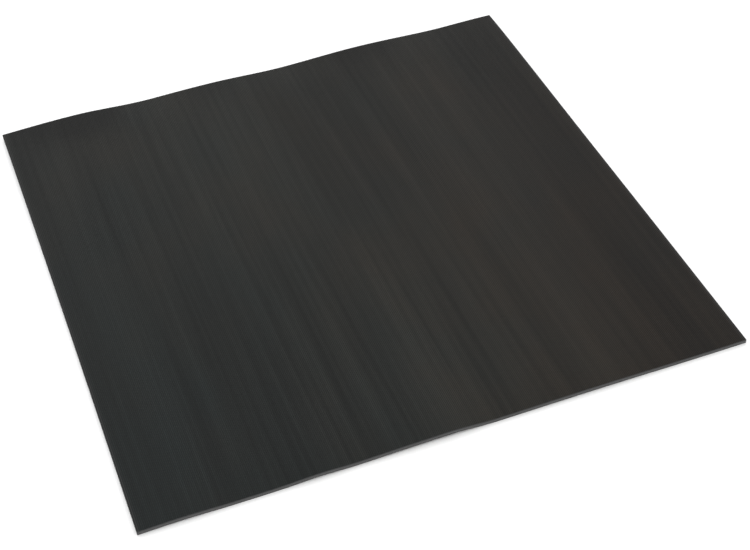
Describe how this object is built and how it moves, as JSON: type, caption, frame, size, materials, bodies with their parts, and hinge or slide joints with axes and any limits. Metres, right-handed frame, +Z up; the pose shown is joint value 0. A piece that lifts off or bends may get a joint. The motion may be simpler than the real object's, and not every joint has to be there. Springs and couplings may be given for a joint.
{
  "type": "seedling heat mat",
  "caption": "Square fine-ribbed black rubber heat mat for seed trays, laminated around a serpentine heating wire, with an edge gland for two leads.",
  "frame": {"origin": "centre of the flat underside, on the surface that the mat lies on", "axes": "+Z up through the thickness, +Y along the ribs towards the edge with the lead gland, +X across the ribs"},
  "size_m": [0.508, 0.508, 0.0038],
  "materials": {
    "ribbed_rubber": "matte",
    "backing_rubber": "matte",
    "edge_rubber": "matte",
    "gland_rubber": "satin",
    "bed_silicone": "matte",
    "foam": "matte",
    "foil": "satin",
    "insulating_film": "satin",
    "resistance_wire": "satin",
    "wire_jacket": "satin",
    "tinned_copper": "satin",
    "cutoff_body": "matte",
    "clear_sleeve": "gloss",
    "brown_sleeve": "satin",
    "blue_sleeve": "satin",
    "glass_yarn": "matte"
  },
  "bodies": {
    "root": {"top_cover": "ribbed_rubber", "heat_spreader": "foil", "terminal_patch": "insulating_film", "element_bed": "bed_silicone", "heating_wire_core": "resistance_wire", "heating_wire_jacket": "wire_jacket", "thermal_cutoff": "cutoff_body", "cutoff_leads": "tinned_copper", "cutoff_splices": "tinned_copper", "cutoff_sleeve": "clear_sleeve", "live_crimp": "tinned_copper", "neutral_crimp": "tinned_copper", "live_crimp_sleeve": "brown_sleeve", "neutral_crimp_sleeve": "blue_sleeve", "scrim_warp": "glass_yarn", "scrim_weft": "glass_yarn", "insulation_layer": "foam", "bottom_cover": "backing_rubber", "front_edge_strip": "edge_rubber", "rear_edge_strip": "edge_rubber", "left_edge_strip": "edge_rubber", "right_edge_strip": "edge_rubber", "lead_gland": "gland_rubber"}
  },
  "joints": []
}
